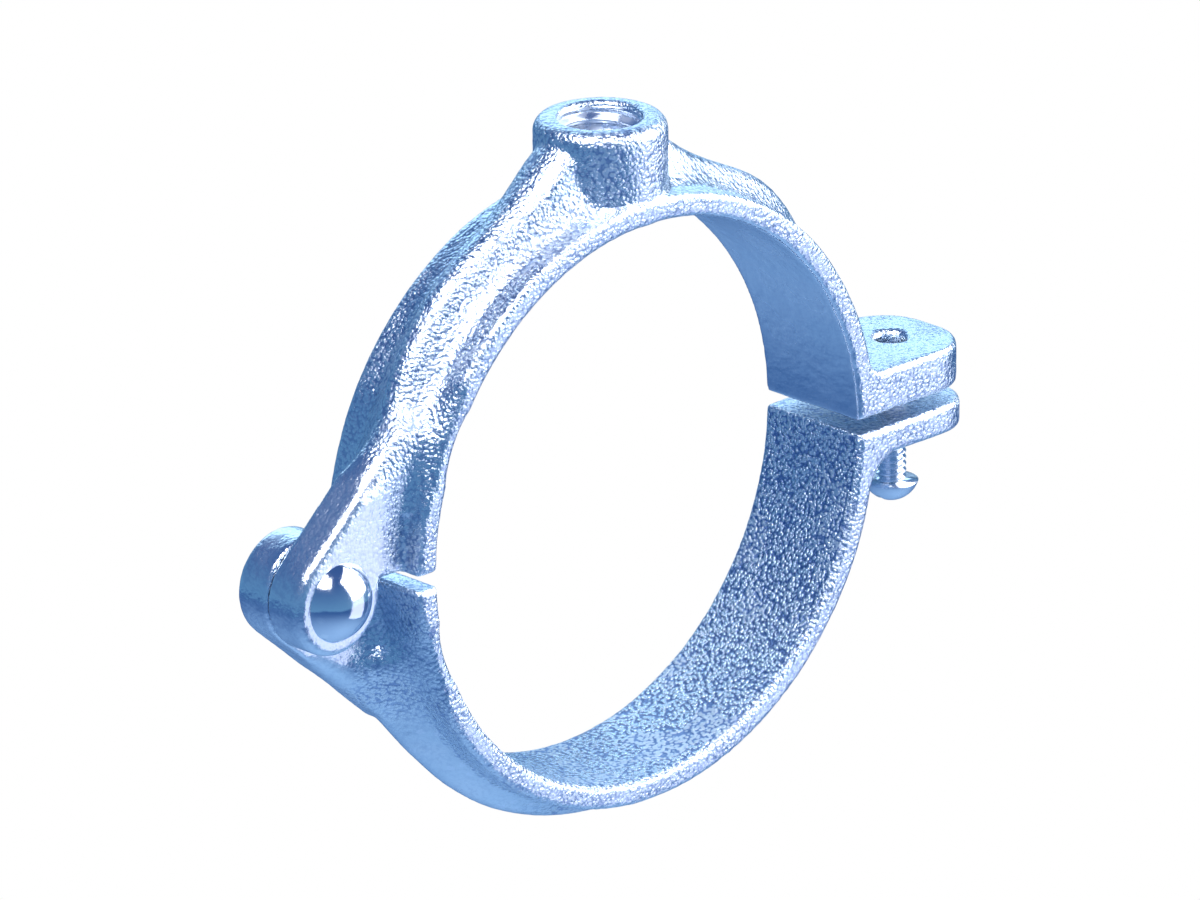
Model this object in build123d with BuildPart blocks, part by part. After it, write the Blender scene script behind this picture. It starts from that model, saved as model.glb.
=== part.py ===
from build123d import *
from math import asin, cos, degrees, radians, sin
import os

# Split ring hanger for steel pipe: two cast halves on a rivet, closed by one machine screw.
# Frame: the pipe axis lies along Y through the origin, +Z is up to the rod, +X is the screw side,
# and the front of the hanger, with the near hinge ear, faces -Y. All lengths are in millimetres.

# Ring
PIPE_DIAMETER = 88.9
BAND_WALL = 3.8
BAND_WIDTH = 21.0
SPLIT_GAP = 2.4
EDGE_ROUND = 0.9

# Hinge
PIN_OUTSET = 16.55
EAR_RADIUS = 8.5
EAR_THICKNESS = 6.8
EAR_GAP = 0.4
EAR_POCKET_CLEARANCE = 0.7
EAR_EDGE_ROUND = 1.5
ARM_SLOPE = 42.0
RIVET_DIAMETER = 6.4
RIVET_FIT = 0.05
FRONT_HEAD_DIAMETER = 12.2
FRONT_HEAD_HEIGHT = 3.6
REAR_HEAD_DIAMETER = 11.4
REAR_HEAD_HEIGHT = 3.0
REAR_HEAD_CLEARANCE = 0.1

# Rib along the outside of each half
UPPER_RIB_HEIGHT = 4.4
LOWER_RIB_HEIGHT = 3.5
RIB_CREST_HALF = 2.4
RIB_FOOT_HALF = 8.6
RIB_BURIED = 0.9
RIB_SUNK = 0.3
RIB_FADE = 0.45
CREST_ROUNDNESS = 0.5
FLANK_DEPTH = 0.36
FLANK_PLACE = 0.42
FLANK_INSET = 1.0

# Course of each rib. An angle in degrees is up or down from the screw side. A rise is over the crest.
BUTTRESS_STATIONS = ((96, 6.0, 4.4), (104, 3.6, 4.4), (110, 1.2, 3.96), (119, 0.0, 3.08))
BEND_LEAN = 0.3
UPPER_RIGHT_RISES = ((84, 3.4), (76, 1.8), (68, -0.4), (58, -0.3), (42, -0.6))
UPPER_FADE_ANGLE = 28
UPPER_SUNK_ANGLE = 15
LOWER_RISES = ((130, 0.0), (105, 0.0), (80, 0.0), (55, -0.6))
LOWER_FADE_ANGLE = 36
LOWER_SUNK_ANGLE = 22

# Flare of a rib into its hinge arm: degrees past the arm's start, half width and lean as parts of the ear's
FLARE_LEAD = 3
FLARE_RISE = 0.2
FLARE_LEAN = 0.4
FLARE_INSET = 0.9
FLARE_STATIONS = ((8, 0.4, 0.85), (15, 0.45, 1.0))

# Rod boss
ROD_DIAMETER = 12.7
BOSS_DIAMETER = 20.4
BOSS_RISE = 15.15
BOSS_EDGE_ROUND = 2.2
ROD_MOUTH_CHAMFER = 0.5

# Screw lugs
SCREW_OUTSET = 17.05
UPPER_LUG_THICKNESS = 7.0
LOWER_LUG_THICKNESS = 4.7
LUG_TIP_MARGIN = 9.0
UPPER_LUG_TIP_ROUND = 8.6
LOWER_LUG_TIP_ROUND = 7.4
UPPER_LUG_FILLET = 2.5
LOWER_LUG_FILLET = 6.0
SCREW_HOLE_DISH = 0.7

# Clamp screw, backed out below the lower lug
SCREW_DIAMETER = 4.8
SCREW_LENGTH = 16.0
SCREW_HOLE_CLEARANCE = 0.1
SCREW_TIP_CLEARANCE = 0.8
SCREW_TIP_CHAMFER = 0.6
SCREW_HEAD_DIAMETER = 8.6
SCREW_HEAD_HEIGHT = 3.2
SCREW_SLOT_WIDTH = 1.3
SCREW_SLOT_DEPTH = 1.5

# Closeness for telling one edge from another
MATCH = 0.01

pipe_radius = PIPE_DIAMETER / 2
band_outer = pipe_radius + BAND_WALL
half_width = BAND_WIDTH / 2
half_gap = SPLIT_GAP / 2
ear_inner = EAR_GAP / 2
ear_outer = ear_inner + EAR_THICKNESS
ear_middle = (ear_inner + ear_outer) / 2
upper_crest = band_outer + UPPER_RIB_HEIGHT
lower_crest = band_outer + LOWER_RIB_HEIGHT
boss_radius = BOSS_DIAMETER / 2
boss_top = pipe_radius + BOSS_RISE
pin_reach = pipe_radius + PIN_OUTSET
screw_reach = pipe_radius + SCREW_OUTSET
arm_offset = pin_reach * sin(radians(ARM_SLOPE)) + EAR_RADIUS
lug_tip = screw_reach + LUG_TIP_MARGIN
beyond = 2 * (lug_tip + boss_top)
beyond_lug = 2 * (UPPER_LUG_THICKNESS + LOWER_LUG_THICKNESS + SPLIT_GAP)
pocket_radius = EAR_RADIUS + EAR_POCKET_CLEARANCE
rivet_hole_radius = RIVET_DIAMETER / 2 + RIVET_FIT
screw_hole_radius = SCREW_DIAMETER / 2 + SCREW_HOLE_CLEARANCE
screw_bearing = half_gap - SCREW_TIP_CLEARANCE - SCREW_LENGTH


def side_plane(y):
    """A plane across the pipe axis at y: its own x is +X and its own y is +Z."""
    return Plane(origin=(0, y, 0), x_dir=(1, 0, 0), z_dir=(0, -1, 0))


def radial_plane(angle):
    """A plane through the pipe axis: its own x points outwards at the angle, its own y is +Y."""
    turn = radians(angle)
    return Plane(origin=(0, 0, 0), x_dir=(cos(turn), 0, sin(turn)), z_dir=(-sin(turn), 0, cos(turn)))


def polar(radius, angle, side=1):
    """A point in a side view, with its angle taken up or down from +X."""
    return (radius * cos(radians(angle)), side * radius * sin(radians(angle)))


def arm_edge(angle):
    """Distance from the pipe axis to an arm's outer edge, a slanted line tangent to the ear."""
    return arm_offset / sin(radians(angle - ARM_SLOPE))


def arm_start(crest):
    """The angle at which the arm's outer edge leaves the rib's crest."""
    return ARM_SLOPE + 180 - degrees(asin(arm_offset / crest))


def rib_section(angle, side, crest, crest_half, shift):
    """One cross-section of the rib: a foot inside the band, two hollow flanks and a round crest."""
    foot = band_outer - RIB_BURIED
    shoulder = crest - CREST_ROUNDNESS * min(crest_half, crest - foot)
    hollow = foot + FLANK_DEPTH * (shoulder - foot)
    front = shift - crest_half
    back = shift + crest_half
    spread = (1 - FLANK_PLACE) * RIB_FOOT_HALF - FLANK_INSET
    with BuildSketch(radial_plane(side * angle)) as section:
        with BuildLine():
            Line((foot, RIB_FOOT_HALF), (foot, -RIB_FOOT_HALF))
            ThreePointArc((foot, -RIB_FOOT_HALF), (hollow, FLANK_PLACE * front - spread), (shoulder, front))
            ThreePointArc((shoulder, front), (crest, shift), (shoulder, back))
            ThreePointArc((shoulder, back), (hollow, FLANK_PLACE * back + spread), (foot, RIB_FOOT_HALF))
        make_face()
    return section.sketch


def arm_profile(side, crest):
    """Side view of a hinge arm: the round ear, and the flare that carries it out from the band."""
    start = arm_start(crest)
    root = pipe_radius + BAND_WALL / 2
    split_angle = 180 - degrees(asin(half_gap / root))
    middle = (start + split_angle) / 2
    touch_x = -pin_reach - EAR_RADIUS * sin(radians(ARM_SLOPE))
    touch = (touch_x, side * EAR_RADIUS * cos(radians(ARM_SLOPE)))
    pin = (-pin_reach, 0)
    split = polar(root, split_angle, side)
    with BuildSketch(side_plane(-side * ear_inner)) as profile:
        with BuildLine():
            Polyline(pin, touch, polar(arm_edge(start), start, side), polar(root, start, side))
            ThreePointArc(polar(root, start, side), polar(root, middle, side), split)
            Polyline(split, (-pin_reach, side * half_gap), pin)
        make_face()
        with Locations(pin):
            Circle(EAR_RADIUS)
    return profile.sketch


def ring_profile(side, lug_thickness, lug_fillet):
    """Side view of half a ring with its screw lug, the corner over the lug filled in."""
    lug_top = half_gap + lug_thickness
    corner = (band_outer * cos(asin(lug_top / band_outer)), side * lug_top)
    with BuildSketch(side_plane(0)) as profile:
        Circle(band_outer)
        with Locations(((pipe_radius + lug_tip) / 2, side * (half_gap + lug_thickness / 2))):
            Rectangle(lug_tip - pipe_radius, lug_thickness)
        with Locations((0, side * (half_gap - beyond / 2))):
            Rectangle(beyond, beyond, mode=Mode.SUBTRACT)
        nearest = profile.vertices().sort_by(lambda v: (v.X - corner[0]) ** 2 + (v.Z - corner[1]) ** 2)[0]
        fillet(nearest, radius=lug_fillet)
        Circle(pipe_radius, mode=Mode.SUBTRACT)
    return profile.sketch


def add_ring(side, lug_thickness, lug_fillet, tip_round):
    """The band with its screw lug, the lug rounded in plan and the outer rims eased."""
    extrude(ring_profile(side, lug_thickness, lug_fillet), amount=half_width, both=True)
    here = BuildPart._get_context()
    corners = here.edges().filter_by(Axis.Z).sort_by(Axis.X)[-2:]
    fillet(corners, radius=tip_round)
    sides = here.faces().filter_by(Axis.Y).sort_by(Axis.Y)
    fillet(sides[0].outer_wire().edges() + sides[-1].outer_wire().edges(), radius=EDGE_ROUND)


def add_rib(side, stations):
    """A rib lofted through cross-sections given as angle, crest radius, crest half width and shift."""
    loft([rib_section(angle, side, crest, half, shift) for angle, crest, half, shift in stations])


def cut_bore_and_split(side):
    """Clears the pipe's space and everything past the split plane, apart from the hinge ear."""
    Cylinder(pipe_radius, 2 * BAND_WIDTH, rotation=(90, 0, 0), mode=Mode.SUBTRACT)
    with Locations((0, 0, side * (half_gap - beyond / 2))):
        Box(beyond, beyond, beyond, mode=Mode.SUBTRACT)


def cut_pin_cylinder(radius, start, end):
    """Removes a cylinder about the hinge pin from y = start to y = end."""
    with Locations((-pin_reach, (start + end) / 2, 0)):
        Cylinder(radius, end - start, rotation=(90, 0, 0), mode=Mode.SUBTRACT)


def cut_screw_hole(side, thickness):
    """The plain hole through a lug, with a shallow dish on the lug's outer face."""
    face = side * (half_gap + thickness)
    with Locations((screw_reach, 0, side * half_gap)):
        Cylinder(screw_hole_radius, beyond_lug, mode=Mode.SUBTRACT)
    rings = BuildPart._get_context().edges().filter_by(GeomType.CIRCLE)
    holes = rings.filter_by(lambda edge: abs(edge.radius - screw_hole_radius) < MATCH)
    chamfer(holes.filter_by_position(Axis.Z, face - MATCH, face + MATCH), length=SCREW_HOLE_DISH)


def hinge_arm(side, crest):
    """One hinge arm: the side profile as thick as the ear, with its outer edge rounded."""
    with BuildPart() as arm:
        extrude(arm_profile(side, crest), amount=side * EAR_THICKNESS)
        outer_face = arm.faces().filter_by(Axis.Y).sort_by(lambda face: -abs(face.center().Y))[0]
        rim = outer_face.outer_wire().edges()
        fillet(rim.filter_by(lambda edge: (edge @ 0.5).X < -band_outer), radius=EAR_EDGE_ROUND)
    return arm.part


def add_dome(seat, direction, diameter, height):
    """A domed head on a flat seat, a slice of a sphere that rises along the direction."""
    radius = diameter / 2
    sphere = (radius**2 + height**2) / (2 * height)
    plane = Plane(origin=seat, x_dir=(1, 0, 0), z_dir=Vector(1, 0, 0).cross(Vector(*direction)))
    with BuildSketch(plane) as profile:
        with BuildLine():
            Line((0, height), (0, 0))
            Line((0, 0), (radius, 0))
            ThreePointArc((radius, 0), dome_point(radius, sphere, height), (0, height))
        make_face()
    revolve(profile.sketch, axis=Axis(seat, direction))


def dome_point(radius, sphere, height):
    """A point halfway out along a dome's outline."""
    return (radius / 2, (sphere**2 - radius**2 / 4) ** 0.5 - sphere + height)


def flare_stations(start, crest, lean):
    """The rib's last cross-sections, where it leaves its crest and widens into the hinge arm."""
    stations = [(start - FLARE_LEAD, crest + FLARE_RISE, RIB_CREST_HALF, lean * FLARE_LEAN * ear_middle)]
    for past, half, share in FLARE_STATIONS:
        edge = arm_edge(start + past) - FLARE_INSET
        stations.append((start + past, edge, half * EAR_THICKNESS, lean * share * ear_middle))
    return stations


def fading_stations(rib_height, fade_angle, sunk_angle):
    """The rib's cross-sections on the screw side, where it sinks into the band."""
    return [
        (fade_angle, band_outer + RIB_FADE * rib_height, RIB_CREST_HALF, 0),
        (sunk_angle, band_outer - RIB_SUNK, RIB_CREST_HALF, 0),
    ]


def steady_stations(crest, rises):
    """Cross-sections of even width over a list of angles and rises."""
    return [(angle, crest + rise, RIB_CREST_HALF, 0) for angle, rise in rises]


def upper_left_stations():
    """The rib from the boss down to the near ear: buttress, steady rib, then the flare."""
    start = arm_start(upper_crest)
    stations = [(angle, upper_crest + rise, half, 0) for angle, rise, half in BUTTRESS_STATIONS]
    bend = (start + BUTTRESS_STATIONS[-1][0]) / 2
    stations.append((bend, upper_crest, RIB_CREST_HALF, -BEND_LEAN * ear_inner))
    return stations + flare_stations(start, upper_crest, -1)


def upper_right_stations():
    """The rib from the boss to the screw side."""
    fading = fading_stations(UPPER_RIB_HEIGHT, UPPER_FADE_ANGLE, UPPER_SUNK_ANGLE)
    return steady_stations(upper_crest, UPPER_RIGHT_RISES) + fading


def lower_stations():
    """The rib from the far ear round the bottom to the screw side."""
    flare = flare_stations(arm_start(lower_crest), lower_crest, 1)
    fading = fading_stations(LOWER_RIB_HEIGHT, LOWER_FADE_ANGLE, LOWER_SUNK_ANGLE)
    return flare[::-1] + steady_stations(lower_crest, LOWER_RISES) + fading


# Upper half: band, rib, boss, near ear and upper lug, cast in one piece
upper_arm = hinge_arm(1, upper_crest)
with BuildPart() as upper_half:
    add_ring(1, UPPER_LUG_THICKNESS, UPPER_LUG_FILLET, UPPER_LUG_TIP_ROUND)
    add_rib(1, upper_left_stations())
    add_rib(1, upper_right_stations())
    with Locations((0, 0, (pipe_radius + boss_top) / 2)):
        Cylinder(boss_radius, boss_top - pipe_radius)
    boss_rim = upper_half.faces().filter_by(Axis.Z).sort_by(Axis.Z)[-1]
    fillet(boss_rim.outer_wire().edges(), radius=BOSS_EDGE_ROUND)
    cut_bore_and_split(1)
    cut_pin_cylinder(pocket_radius, -ear_inner, BAND_WIDTH)
    add(upper_arm)
    cut_pin_cylinder(rivet_hole_radius, -BAND_WIDTH, BAND_WIDTH)
    with Locations((0, 0, boss_top)):
        Cylinder(ROD_DIAMETER / 2, 2 * (boss_top - pipe_radius) + 2 * BAND_WALL, mode=Mode.SUBTRACT)
    mouth = upper_half.faces().filter_by(Axis.Z).sort_by(Axis.Z)[-1].inner_wires()
    chamfer(mouth.edges(), length=ROD_MOUTH_CHAMFER)
    cut_screw_hole(1, UPPER_LUG_THICKNESS)
upper_half.part.label = "upper_half"

# Lower half: band, rib, far ear and lower lug, cast in one piece
lower_arm = hinge_arm(-1, lower_crest)
with BuildPart() as lower_half:
    add_ring(-1, LOWER_LUG_THICKNESS, LOWER_LUG_FILLET, LOWER_LUG_TIP_ROUND)
    add_rib(-1, lower_stations())
    cut_bore_and_split(-1)
    cut_pin_cylinder(pocket_radius, -BAND_WIDTH, ear_inner)
    add(lower_arm)
    cut_pin_cylinder(rivet_hole_radius, -BAND_WIDTH, BAND_WIDTH)
    cut_screw_hole(-1, LOWER_LUG_THICKNESS)
lower_half.part.label = "lower_half"

# Hinge rivet: a round shank with a domed head at each end
rear_seat = ear_outer + REAR_HEAD_CLEARANCE
with BuildPart() as hinge_rivet:
    with Locations((-pin_reach, (rear_seat - ear_outer) / 2, 0)):
        Cylinder(RIVET_DIAMETER / 2, rear_seat + ear_outer, rotation=(90, 0, 0))
    add_dome((-pin_reach, -ear_outer, 0), (0, -1, 0), FRONT_HEAD_DIAMETER, FRONT_HEAD_HEIGHT)
    add_dome((-pin_reach, rear_seat, 0), (0, 1, 0), REAR_HEAD_DIAMETER, REAR_HEAD_HEIGHT)
hinge_rivet.part.label = "hinge_rivet"

# Clamp screw: slotted round head below the lower lug, tip just short of the upper lug
with BuildPart() as clamp_screw:
    with Locations((screw_reach, 0, screw_bearing + SCREW_LENGTH / 2)):
        Cylinder(SCREW_DIAMETER / 2, SCREW_LENGTH)
    tip = clamp_screw.faces().sort_by(Axis.Z)[-1]
    chamfer(tip.edges(), length=SCREW_TIP_CHAMFER)
    add_dome((screw_reach, 0, screw_bearing), (0, 0, -1), SCREW_HEAD_DIAMETER, SCREW_HEAD_HEIGHT)
    with Locations((screw_reach, 0, screw_bearing - SCREW_HEAD_HEIGHT)):
        Box(2 * SCREW_HEAD_DIAMETER, SCREW_SLOT_WIDTH, 2 * SCREW_SLOT_DEPTH, mode=Mode.SUBTRACT)
clamp_screw.part.label = "clamp_screw"

os.makedirs("parts", exist_ok=True)
for piece in (upper_half, lower_half, hinge_rivet, clamp_screw):
    export_step(piece.part, f"parts/{piece.part.label}.step")
    print(piece.part.label, len(piece.part.solids()), round(piece.part.volume, 1))
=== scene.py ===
from math import atan2, cos, floor, pi, radians, sin

import bmesh
import bpy
from mathutils import Matrix, Vector, noise


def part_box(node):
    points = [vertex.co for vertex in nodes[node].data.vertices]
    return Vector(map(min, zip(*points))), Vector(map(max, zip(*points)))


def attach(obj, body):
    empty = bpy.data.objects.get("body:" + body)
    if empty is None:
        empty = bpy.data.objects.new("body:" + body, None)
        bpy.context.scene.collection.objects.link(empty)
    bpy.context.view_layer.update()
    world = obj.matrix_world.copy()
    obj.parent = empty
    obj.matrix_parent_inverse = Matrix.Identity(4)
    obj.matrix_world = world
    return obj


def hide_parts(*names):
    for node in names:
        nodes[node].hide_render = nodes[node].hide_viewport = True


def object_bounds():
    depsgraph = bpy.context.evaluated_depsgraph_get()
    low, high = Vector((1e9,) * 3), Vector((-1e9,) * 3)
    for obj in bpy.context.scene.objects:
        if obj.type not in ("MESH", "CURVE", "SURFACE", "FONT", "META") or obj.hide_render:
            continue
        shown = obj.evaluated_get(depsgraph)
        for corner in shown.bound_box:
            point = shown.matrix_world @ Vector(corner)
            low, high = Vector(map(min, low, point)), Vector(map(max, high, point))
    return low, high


# Looks of the split ring hanger: grainy zinc-plated castings, a bright rivet and a threaded screw.
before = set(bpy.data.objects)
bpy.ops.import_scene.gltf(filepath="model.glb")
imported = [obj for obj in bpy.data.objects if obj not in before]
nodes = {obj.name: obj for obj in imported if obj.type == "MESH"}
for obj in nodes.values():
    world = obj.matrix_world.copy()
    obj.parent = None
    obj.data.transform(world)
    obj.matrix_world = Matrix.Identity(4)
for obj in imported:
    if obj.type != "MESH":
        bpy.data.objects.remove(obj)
cad_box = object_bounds()

MM = 0.001

# The camera, as it stood to the photograph: it looks at the ring from the front left and above
CAMERA_AZIMUTH = radians(43.6)
CAMERA_ELEVATION = radians(20.6)
CAMERA_ROLL = radians(-0.8)
CAMERA_DISTANCE = 1.70
SENSOR_WIDTH = 36.0
LENS = 336.0
RING_CENTRE_RIGHT = 0.8 * MM
RING_CENTRE_DOWN = 5.5 * MM

# Castings: the mesh, the grain of its skin, and one place on each where a step is smoothed over
VOXEL = 0.42 * MM
SMOOTHING = 0.5
EDGE_ROUNDS = 3
GRAIN_DEPTH = 0.05 * MM
GRAIN_SIZE = 1.1 * MM
BROAD_GRAIN_SIZE = 7 * GRAIN_SIZE
FINE_WEIGHT = 0.75
BROAD_WEIGHT = 1.3
PIPE_RADIUS = 44.45 * MM
BLENDED = {"upper_half": (-0.049, -0.0085, 0.024), "lower_half": (-0.0510, -0.0042, -0.0150)}
BLEND_REACH = 12 * MM
BLEND_ROUNDS = 300

# Threads, 13 and 24 to the inch: their depth is a share of the pitch
THREAD_DEPTH = 0.54
FLANK_STEEPNESS = 1.15
ROD_RADIUS = 6.35 * MM
ROD_CLEARANCE = 0.08 * MM
ROD_PITCH = 25.4 / 13 * MM
ROD_THREAD_ABOVE_BORE = 0.9 * MM
ROD_THREAD_BELOW_TOP = 0.75 * MM
MOUTH_FADE = 1.2 * MM
THREAD_BURIED = 0.5 * MM
SCREW_RADIUS = 2.4 * MM
SCREW_PITCH = 25.4 / 24 * MM
SCREW_LENGTH = 16.0 * MM
SCREW_TAPER = 0.7 * MM
SLOT_SPAN = 17.2 * MM
SLOT_WIDTH = 1.3 * MM
SLOT_DEPTH = 1.5 * MM

# Rivet: half the thickness of the two ears, the rear head and its gap from the ear, and the shank
EARS_HALF = 7.0 * MM
REAR_HEAD_RADIUS = 5.7 * MM
REAR_GAP = 0.1 * MM
SHANK_RADIUS = 3.2 * MM

# Turned shapes: the short edge under a head's rim, points around, and rows in a dome or a thread's turn
RIM_EDGE = 0.02 * MM
DOME_ROWS = 24
RIVET_POINTS = 96
SCREW_POINTS = 48
SCREW_ROWS = 12
ROD_POINTS = 96
ROD_ROWS = 16

# Colours
DULL_ZINC = (0.78, 0.87, 0.95, 1.0)
PALE_ZINC = (0.87, 0.92, 0.98, 1.0)
# Painted shade: dark blue put into the hollows of the cast grain
GROOVE_SHADE_BLUE = (0.24, 0.35, 0.60, 1.0)
# Painted highlight: a paler colour on the castings' convex edges
CAST_EDGE_HIGHLIGHT = (0.86, 0.92, 1.0, 1.0)
HAZE = (0.88, 0.92, 0.98, 1.0)
# Painted highlight: a paler colour on the convex edges of the rivet, screw and thread
BRIGHT_EDGE_HIGHLIGHT = (0.92, 0.95, 1.0, 1.0)
FLOOR_COLOUR = (0.40, 0.62, 0.82, 1.0)
ROOM_BELOW = (0.14, 0.33, 0.56, 1.0)
ROOM_ABOVE = (0.045, 0.11, 0.31, 1.0)
WHITE = (1.0, 1.0, 1.0, 1.0)

# Texture scales, per metre, and the depth of their relief
PATCH_SCALE = 90.0
PEBBLE_SCALE = 1750.0
SPECK_SCALE = 2300.0
HAMMER_SCALE = 420.0
PIT_DEPTH = 0.22 * MM
DENT_DEPTH = 0.5 * MM
MARK_DEPTH = 0.05 * MM

# Floor
FLOOR_DROP = 0.9
FLOOR_REACH = 3.0


def view_axes():
    """Unit vectors from the ring to the camera, to the right and up in the picture."""
    back = Vector((
        -sin(CAMERA_AZIMUTH) * cos(CAMERA_ELEVATION),
        -cos(CAMERA_AZIMUTH) * cos(CAMERA_ELEVATION),
        sin(CAMERA_ELEVATION),
    ))
    right = Vector((cos(CAMERA_AZIMUTH), -sin(CAMERA_AZIMUTH), 0))
    return back, right, back.cross(right)


def make_camera():
    """The photograph's viewpoint, with the ring's centre a little off the middle of the picture."""
    back, right, up = view_axes()
    data = bpy.data.cameras.new("camera")
    data.sensor_width = SENSOR_WIDTH
    data.lens = LENS
    camera = bpy.data.objects.new("camera", data)
    bpy.context.collection.objects.link(camera)
    rolled_right = right * cos(CAMERA_ROLL) + up * sin(CAMERA_ROLL)
    rolled_up = back.cross(rolled_right)
    place = back * CAMERA_DISTANCE - rolled_right * RING_CENTRE_RIGHT + rolled_up * RING_CENTRE_DOWN
    axes = Matrix((rolled_right, rolled_up, back)).transposed().to_4x4()
    camera.matrix_world = Matrix.Translation(place) @ axes
    bpy.context.scene.camera = camera
    bpy.context.scene.view_settings.view_transform = "Standard"


def new_object(name, mesh, body, material):
    """Links a mesh as a smooth-shaded piece that rides on a body."""
    piece = bpy.data.objects.new(name, mesh)
    bpy.context.collection.objects.link(piece)
    for polygon in mesh.polygons:
        polygon.use_smooth = True
    mesh.materials.clear()
    mesh.materials.append(material)
    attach(piece, body)
    return piece


def apply_modifiers(piece):
    """Turns a piece's modifiers into plain mesh."""
    graph = bpy.context.evaluated_depsgraph_get()
    mesh = bpy.data.meshes.new_from_object(piece.evaluated_get(graph))
    piece.modifiers.clear()
    piece.data = mesh


def cast_height(point, seed):
    """Height of the cast skin's grain at a point, in grain depths."""
    fine = noise.noise(point / GRAIN_SIZE + Vector((seed, 0, 0)))
    broad = noise.noise(point / BROAD_GRAIN_SIZE + Vector((0, seed, 0)))
    return FINE_WEIGHT * fine + BROAD_WEIGHT * broad


def dressed_casting(node, body, material, seed):
    """A casting's solid with softened edges, one step smoothed over, and an uneven skin as sand leaves it."""
    mesh = nodes[node].data.copy()
    piece = bpy.data.objects.new(node + "_cast", mesh)
    bpy.context.collection.objects.link(piece)
    remesh = piece.modifiers.new("remesh", "REMESH")
    remesh.mode = "VOXEL"
    remesh.voxel_size = VOXEL
    remesh.adaptivity = 0
    smooth = piece.modifiers.new("smooth", "SMOOTH")
    smooth.factor = SMOOTHING
    smooth.iterations = EDGE_ROUNDS
    apply_modifiers(piece)
    blend = piece.vertex_groups.new(name="blend")
    for vertex in piece.data.vertices:
        nearness = max(0.0, 1 - (vertex.co - Vector(BLENDED[node])).length / BLEND_REACH)
        if nearness > 0:
            blend.add([vertex.index], min(1.0, 2 * nearness), "REPLACE")
    fillet = piece.modifiers.new("fillet", "SMOOTH")
    fillet.factor = SMOOTHING
    fillet.iterations = BLEND_ROUNDS
    fillet.vertex_group = "blend"
    apply_modifiers(piece)
    mesh = piece.data
    normals = [vertex.normal.copy() for vertex in mesh.vertices]
    for vertex, normal in zip(mesh.vertices, normals):
        vertex.co += normal * GRAIN_DEPTH * cast_height(vertex.co, seed)
    bpy.data.objects.remove(piece)
    dressed = new_object(node + "_cast", mesh, body, material)
    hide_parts(node)
    return dressed


def thread_wave(turns):
    """Height of a vee thread's flank, from 0 at the root to 1 at a narrow flat crest."""
    wave = abs(2 * (turns - floor(turns)) - 1)
    return min(1.0, wave * FLANK_STEEPNESS)


def thread_rings(radius_at, low, high, pitch, around, per_turn):
    """Rows of points up a thread, each row a ring whose radius follows the helix."""
    rows = int((high - low) / pitch * per_turn)
    rings = []
    for row in range(rows + 1):
        z = low + (high - low) * row / rows
        ring = []
        for step in range(around):
            angle = 2 * pi * step / around
            radius = radius_at(thread_wave(z / pitch - step / around), z)
            ring.append((radius * cos(angle), radius * sin(angle), z))
        rings.append(ring)
    return rings


def skin(rings, closed=False):
    """A mesh from rings of points, joined in order, with its ends filled unless it closes on itself."""
    mesh = bpy.data.meshes.new("skin")
    bm = bmesh.new()
    rows = [[bm.verts.new(point) for point in ring] for ring in rings]
    around = len(rows[0])
    pairs = list(zip(rows, rows[1:] + rows[:1])) if closed else list(zip(rows, rows[1:]))
    for lower, upper in pairs:
        for step in range(around):
            after = (step + 1) % around
            bm.faces.new((lower[step], lower[after], upper[after], upper[step]))
    if not closed:
        bm.faces.new(list(reversed(rows[0])))
        bm.faces.new(rows[-1])
    bmesh.ops.recalc_face_normals(bm, faces=bm.faces)
    bm.to_mesh(mesh)
    bm.free()
    return mesh


def lathe_rings(profile, around):
    """Rings of points for a turned shape, from a profile of (radius, height) points."""
    angles = [2 * pi * step / around for step in range(around)]
    return [
        [(radius * cos(angle), radius * sin(angle), height) for angle in angles]
        for radius, height in profile
    ]


def dome_profile(radius, height, steps):
    """Profile of a dome from just off its top down to its rim, as a slice of a sphere."""
    sphere = (radius**2 + height**2) / (2 * height)
    widest = atan2(radius, sphere - height)
    return [
        (sphere * sin(widest * step / steps), sphere * cos(widest * step / steps) - sphere + height)
        for step in range(1, steps + 1)
    ]


def move_mesh(mesh, matrix):
    """Places a mesh that was made about the Z axis."""
    mesh.transform(matrix)
    return mesh


def make_rivet(material):
    """The rivet: a domed head on each end of its shank, outside the two ears."""
    low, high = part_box("hinge_rivet")
    pin_x = (low[0] + high[0]) / 2
    front = dome_profile((high[0] - low[0]) / 2, -EARS_HALF - low[1], DOME_ROWS)
    rear = dome_profile(REAR_HEAD_RADIUS, high[1] - EARS_HALF - REAR_GAP, DOME_ROWS)
    rim = -EARS_HALF + RIM_EDGE
    profile = [(r, -EARS_HALF - z) for r, z in front]
    profile += [(profile[-1][0] + RIM_EDGE, rim), (SHANK_RADIUS, rim), (SHANK_RADIUS, EARS_HALF + REAR_GAP)]
    profile += [(r, EARS_HALF + REAR_GAP + z) for r, z in reversed(rear)]
    mesh = skin(lathe_rings(profile, RIVET_POINTS))
    turn = Matrix.Rotation(-pi / 2, 4, "X")
    move_mesh(mesh, Matrix.Translation((pin_x, 0, 0)) @ turn)
    piece = new_object("rivet_domed", mesh, "upper", material)
    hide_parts("hinge_rivet")
    return piece


def box_mesh(width, depth, height):
    """A box about the origin."""
    mesh = bpy.data.meshes.new("box")
    bm = bmesh.new()
    bmesh.ops.create_cube(bm, size=1.0, matrix=Matrix.Diagonal((width, depth, height, 1.0)))
    bm.to_mesh(mesh)
    bm.free()
    return mesh


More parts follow.
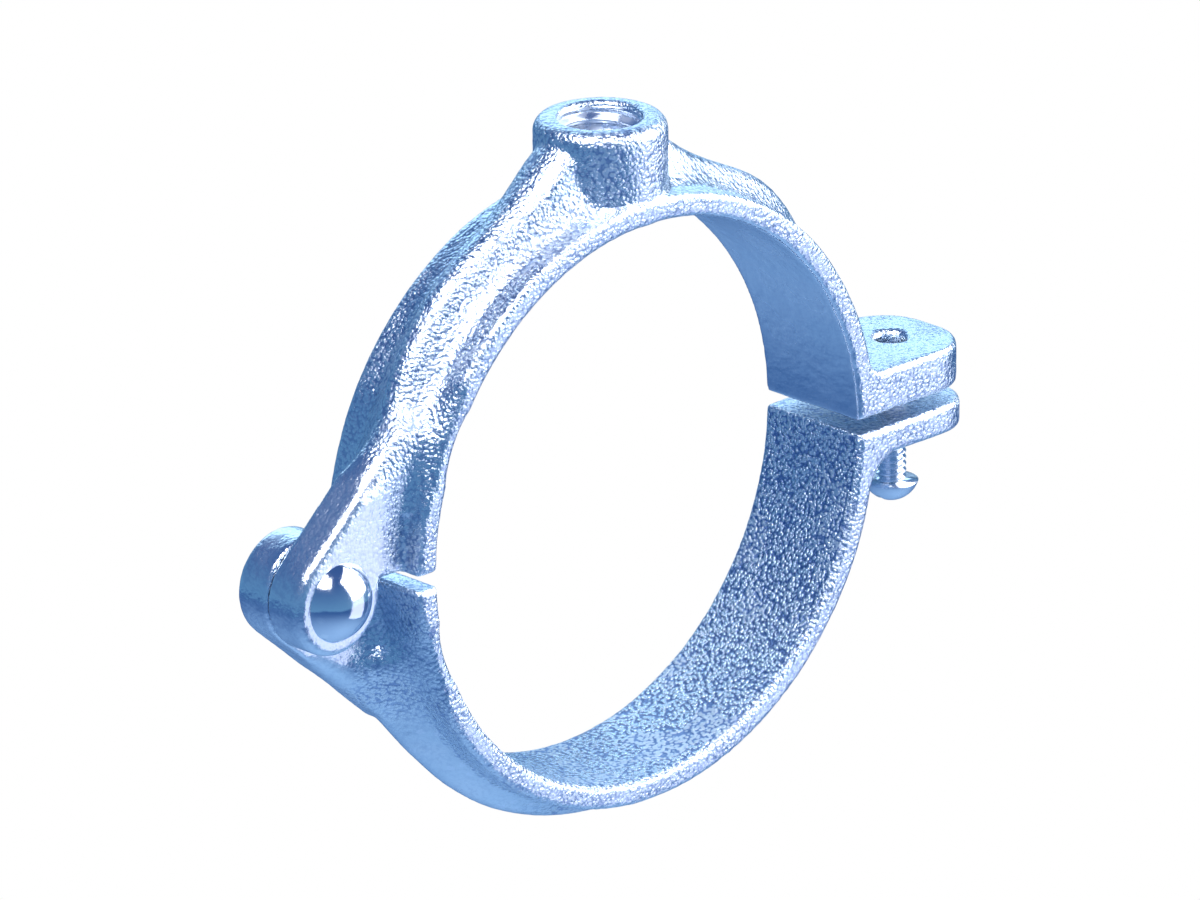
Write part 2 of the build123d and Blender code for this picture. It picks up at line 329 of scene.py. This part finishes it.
def make_screw(material):
    """The clamp screw: threaded shank with a tapered start, and a slotted round head."""
    low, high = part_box("clamp_screw")
    centre_x = (low[0] + high[0]) / 2
    seat = high[2] - SCREW_LENGTH
    depth = THREAD_DEPTH * SCREW_PITCH

    def radius_at(wave, z):
        """The thread's radius, less at the tip, where the start is tapered."""
        taper = max(0.0, z - (high[2] - SCREW_TAPER))
        return SCREW_RADIUS - depth * (1 - wave) - taper

    rings = thread_rings(radius_at, seat, high[2], SCREW_PITCH, SCREW_POINTS, SCREW_ROWS)
    head = dome_profile((high[0] - low[0]) / 2, seat - low[2], DOME_ROWS)
    head_profile = [(r, seat - z) for r, z in head] + [(head[-1][0], seat + RIM_EDGE)]
    mesh = skin(lathe_rings(head_profile, SCREW_POINTS) + rings)
    move_mesh(mesh, Matrix.Translation((centre_x, 0, 0)))
    slot = bpy.data.objects.new("slot", box_mesh(SLOT_SPAN, SLOT_WIDTH, 2 * SLOT_DEPTH))
    slot.data.transform(Matrix.Translation((centre_x, 0, low[2])))
    bpy.context.collection.objects.link(slot)
    head_piece = bpy.data.objects.new("head", mesh)
    bpy.context.collection.objects.link(head_piece)
    cut = head_piece.modifiers.new("slot", "BOOLEAN")
    cut.operation = "DIFFERENCE"
    cut.solver = "EXACT"
    cut.object = slot
    apply_modifiers(head_piece)
    mesh = head_piece.data
    bpy.data.objects.remove(head_piece)
    bpy.data.objects.remove(slot)
    piece = new_object("screw_threaded", mesh, "screw", material)
    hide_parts("clamp_screw")
    return piece


def make_rod_thread(material):
    """The thread inside the rod boss, its outer wall buried in the casting."""
    low = PIPE_RADIUS + ROD_THREAD_ABOVE_BORE
    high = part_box("upper_half")[1][2] - ROD_THREAD_BELOW_TOP
    depth = THREAD_DEPTH * ROD_PITCH

    def radius_at(wave, z):
        """The thread's inner radius, opened out at the mouth."""
        fade = max(0.0, z - (high - MOUTH_FADE)) / MOUTH_FADE
        return ROD_RADIUS + ROD_CLEARANCE - depth * wave * (1 - fade)

    rings = thread_rings(radius_at, low, high, ROD_PITCH, ROD_POINTS, ROD_ROWS)
    buried = ROD_RADIUS + THREAD_BURIED
    rings += lathe_rings([(buried, high), (buried, low)], ROD_POINTS)
    mesh = skin(rings, closed=True)
    return new_object("rod_thread", mesh, "upper", material)


class Shader:
    """Small helper that builds a node material."""

    def __init__(self, name):
        self.material = bpy.data.materials.new(name)
        self.material.use_nodes = True
        self.tree = self.material.node_tree
        self.surface = self.tree.nodes["Principled BSDF"]

    def node(self, kind, inputs=None, **settings):
        """Adds a node, sets its properties, and fills or links its inputs."""
        made = self.tree.nodes.new(kind)
        for key, value in settings.items():
            setattr(made, key, value)
        for key, value in (inputs or {}).items():
            if isinstance(value, bpy.types.NodeSocket):
                self.tree.links.new(value, made.inputs[key])
            else:
                made.inputs[key].default_value = value
        return made

    def math(self, operation, a, b=0.0, clamp=False):
        """A math node's output."""
        return self.node("ShaderNodeMath", {0: a, 1: b}, operation=operation, use_clamp=clamp).outputs[0]

    def ramp(self, value, low, high, to_low=0.0, to_high=1.0):
        """Maps a value from one range to another, clamped and smooth."""
        inputs = {"Value": value, "From Min": low, "From Max": high, "To Min": to_low, "To Max": to_high}
        return self.node("ShaderNodeMapRange", inputs, interpolation_type="SMOOTHSTEP").outputs[0]

    def mix(self, factor, a, b):
        """A colour between a and b."""
        made = self.tree.nodes.new("ShaderNodeMix")
        made.data_type = "RGBA"
        for socket, value in zip((made.inputs[0], made.inputs[6], made.inputs[7]), (factor, a, b)):
            if isinstance(value, bpy.types.NodeSocket):
                self.tree.links.new(value, socket)
            else:
                socket.default_value = value
        return made.outputs[2]

    def set(self, name, value):
        """Sets or links one of the surface's sockets."""
        if isinstance(value, bpy.types.NodeSocket):
            self.tree.links.new(value, self.surface.inputs[name])
        else:
            self.surface.inputs[name].default_value = value


def cast_zinc(name, inner_grain, seed):
    """Blue-bright zinc on a grainy cast skin, smoother on the hinge ears and at the lower left, with painted
    shade in the grain's hollows and a painted highlight on convex edges.
    """
    s = Shader(name)
    place = s.node("ShaderNodeTexCoord").outputs["Object"]
    shifted = s.node("ShaderNodeVectorMath", {0: place, 1: (seed, 0, 0)}, operation="ADD").outputs[0]
    parts = s.node("ShaderNodeSeparateXYZ", {0: place}).outputs
    x, z = parts[0], parts[2]
    radial = s.math("SQRT", s.math("ADD", s.math("MULTIPLY", x, x), s.math("MULTIPLY", z, z)))
    bore = s.ramp(radial, PIPE_RADIUS + 0.25 * MM, PIPE_RADIUS + 0.7 * MM, 1.0, 0.0)
    outside = s.ramp(radial, PIPE_RADIUS + 4.0 * MM, PIPE_RADIUS + 4.4 * MM)
    ears = s.ramp(x, -54 * MM, -50 * MM, 1.0, 0.0)
    low_left = s.math("MULTIPLY", s.ramp(z, -18 * MM, -30 * MM), s.ramp(x, -10 * MM, -30 * MM), clamp=True)
    low_left = s.math("MULTIPLY", low_left, outside)

    patch_inputs = {"Vector": shifted, "Scale": PATCH_SCALE, "Detail": 2.0}
    patches = s.node("ShaderNodeTexNoise", patch_inputs).outputs[0]
    patch = s.ramp(patches, 0.35, 0.65)
    outer_grain = s.math("MULTIPLY", s.ramp(patch, 0.0, 1.0, 0.6, 1.0), s.ramp(ears, 0.0, 1.0, 1.0, 0.3))
    outer_grain = s.math("MULTIPLY", outer_grain, s.ramp(low_left, 0.0, 1.0, 1.0, 0.2))
    grain = s.mix(bore, outer_grain, (inner_grain, inner_grain, inner_grain, 1.0))

    pebble_inputs = {"Vector": shifted, "Scale": PEBBLE_SCALE, "Smoothness": 0.5}
    pebbles = s.node("ShaderNodeTexVoronoi", pebble_inputs, feature="SMOOTH_F1").outputs[0]
    speck_inputs = {"Vector": shifted, "Scale": SPECK_SCALE, "Detail": 4.0, "Roughness": 0.6}
    specks = s.node("ShaderNodeTexNoise", speck_inputs).outputs[0]
    height = s.math("ADD", s.math("MULTIPLY", pebbles, -0.8), s.math("MULTIPLY", specks, 0.6))
    pits = {"Height": s.math("MULTIPLY", height, grain), "Strength": 1.0, "Distance": PIT_DEPTH}
    pitted = s.node("ShaderNodeBump", pits).outputs[0]
    hammer_inputs = {"Vector": shifted, "Scale": HAMMER_SCALE, "Detail": 3.0}
    hammered = s.node("ShaderNodeTexNoise", hammer_inputs).outputs[0]
    dents = {"Height": hammered, "Strength": 0.35, "Distance": DENT_DEPTH, "Normal": pitted}
    dented = s.node("ShaderNodeBump", dents).outputs[0]

    # Painted highlight: convex edges, found by pointiness, get a paler colour
    edge = s.ramp(s.node("ShaderNodeNewGeometry").outputs["Pointiness"], 0.505, 0.56)
    # Painted shade: the grain's hollows (the Voronoi cell edges) are tinted dark blue, more where the grain
    # is stronger
    groove_shade = s.math("MULTIPLY", s.ramp(pebbles, 0.48, 0.68, 0.0, 0.75), grain, clamp=True)
    tint = s.mix(groove_shade, s.mix(patch, DULL_ZINC, PALE_ZINC), GROOVE_SHADE_BLUE)
    s.set("Base Color", s.mix(edge, tint, CAST_EDGE_HIGHLIGHT))
    s.set("Metallic", 1.0)
    s.set("Roughness", s.ramp(patches, 0.3, 0.7, 0.20, 0.30))
    s.set("Normal", dented)
    return s.material


def bright_zinc(name, roughness, tint, scale):
    """Smooth bright plating with faint haze, fine marks from handling, and a painted highlight on convex
    edges.
    """
    s = Shader(name)
    place = s.node("ShaderNodeTexCoord").outputs["Object"]
    haze = s.node("ShaderNodeTexNoise", {"Vector": place, "Scale": scale, "Detail": 3.0}).outputs[0]
    marks = s.node("ShaderNodeTexNoise", {"Vector": place, "Scale": 9 * scale, "Detail": 2.0}).outputs[0]
    # Painted highlight: convex edges, found by pointiness, get a paler colour
    edge = s.ramp(s.node("ShaderNodeNewGeometry").outputs["Pointiness"], 0.51, 0.58)
    colour = s.mix(haze, tint, HAZE)
    s.set("Base Color", s.mix(edge, colour, BRIGHT_EDGE_HIGHLIGHT))
    s.set("Metallic", 1.0)
    s.set("Roughness", s.ramp(haze, 0.3, 0.7, roughness, 2 * roughness))
    scratches = {"Height": marks, "Strength": 0.15, "Distance": MARK_DEPTH}
    s.set("Normal", s.node("ShaderNodeBump", scratches).outputs[0])
    return s.material


def make_floor():
    """A plain pale floor well below the hanging ring, and pure white to the camera."""
    material = bpy.data.materials.new("floor")
    material.use_nodes = True
    tree = material.node_tree
    surface = tree.nodes["Principled BSDF"]
    surface.inputs["Base Color"].default_value = FLOOR_COLOUR
    surface.inputs["Roughness"].default_value = 0.7
    glow = tree.nodes.new("ShaderNodeEmission")
    path = tree.nodes.new("ShaderNodeLightPath")
    mix = tree.nodes.new("ShaderNodeMixShader")
    tree.links.new(path.outputs["Is Camera Ray"], mix.inputs[0])
    tree.links.new(surface.outputs[0], mix.inputs[1])
    tree.links.new(glow.outputs[0], mix.inputs[2])
    tree.links.new(mix.outputs[0], tree.nodes["Material Output"].inputs[0])
    mesh = bpy.data.meshes.new("floor")
    height = cad_box[0][2] - FLOOR_DROP
    signs = ((-1, -1), (1, -1), (1, 1), (-1, 1))
    corners = [(FLOOR_REACH * across, FLOOR_REACH * along, height) for across, along in signs]
    mesh.from_pydata(corners, [], [(0, 1, 2, 3)])
    mesh.materials.append(material)
    floor_piece = bpy.data.objects.new("floor", mesh)
    bpy.context.collection.objects.link(floor_piece)


def make_world():
    """White to the camera; in reflections, mid blue below and navy above."""
    world = bpy.data.worlds.new("studio")
    bpy.context.scene.world = world
    world.use_nodes = True
    tree = world.node_tree
    tree.nodes.clear()
    coordinates = tree.nodes.new("ShaderNodeTexCoord")
    split = tree.nodes.new("ShaderNodeSeparateXYZ")
    ramp = tree.nodes.new("ShaderNodeMapRange")
    ramp.inputs["From Min"].default_value = -0.5
    ramp.inputs["From Max"].default_value = 0.8
    colour = tree.nodes.new("ShaderNodeMix")
    colour.data_type = "RGBA"
    colour.inputs[6].default_value = ROOM_BELOW
    colour.inputs[7].default_value = ROOM_ABOVE
    room = tree.nodes.new("ShaderNodeBackground")
    white = tree.nodes.new("ShaderNodeBackground")
    white.inputs["Color"].default_value = WHITE
    path = tree.nodes.new("ShaderNodeLightPath")
    mix = tree.nodes.new("ShaderNodeMixShader")
    output = tree.nodes.new("ShaderNodeOutputWorld")
    tree.links.new(coordinates.outputs["Generated"], split.inputs[0])
    tree.links.new(split.outputs[2], ramp.inputs[0])
    tree.links.new(ramp.outputs[0], colour.inputs[0])
    tree.links.new(colour.outputs[2], room.inputs[0])
    tree.links.new(path.outputs["Is Camera Ray"], mix.inputs[0])
    tree.links.new(room.outputs[0], mix.inputs[1])
    tree.links.new(white.outputs[0], mix.inputs[2])
    tree.links.new(mix.outputs[0], output.inputs[0])


def softbox(name, place, size, power, colour=WHITE[:3]):
    """A rectangular soft light at a place, turned to face the ring."""
    data = bpy.data.lights.new(name, "AREA")
    data.shape = "RECTANGLE"
    data.size, data.size_y = size
    data.energy = power
    data.color = colour
    lamp = bpy.data.objects.new(name, data)
    bpy.context.collection.objects.link(lamp)
    lamp.location = place
    lamp.rotation_euler = (-Vector(place)).to_track_quat("-Z", "Y").to_euler()


make_camera()
make_world()
make_floor()
softbox("overhead", (-0.42, -0.08, 0.88), (0.5, 0.5), 6.0)
softbox("front_left", (-0.42, -0.42, 0.80), (0.45, 0.45), 3.0)
softbox("right", (0.72, -0.55, 0.44), (1.2, 1.1), 14.0)
softbox("front_low", (0.60, -0.64, -0.36), (0.7, 0.6), 1.3, (0.86, 0.87, 1.0))
softbox("back_right", (0.58, 0.70, 0.40), (1.0, 0.6), 3.0, (0.60, 0.84, 1.0))

# inner_grain also sets how much painted shade goes into the grain's hollows in the bore: heavy in the lower
# casting, light in the upper
upper_zinc = cast_zinc("upper_zinc", 0.12, 0.0)
lower_zinc = cast_zinc("lower_zinc", 1.9, 3.0)
dressed_casting("upper_half", "upper", upper_zinc, 0.0)
dressed_casting("lower_half", "lower", lower_zinc, 11.0)
make_rivet(bright_zinc("rivet_zinc", 0.07, (0.76, 0.82, 0.92, 1.0), 300.0))
make_screw(bright_zinc("screw_zinc", 0.14, (0.74, 0.80, 0.90, 1.0), 400.0))
make_rod_thread(bright_zinc("thread_zinc", 0.2, (0.66, 0.75, 0.90, 1.0), 500.0))
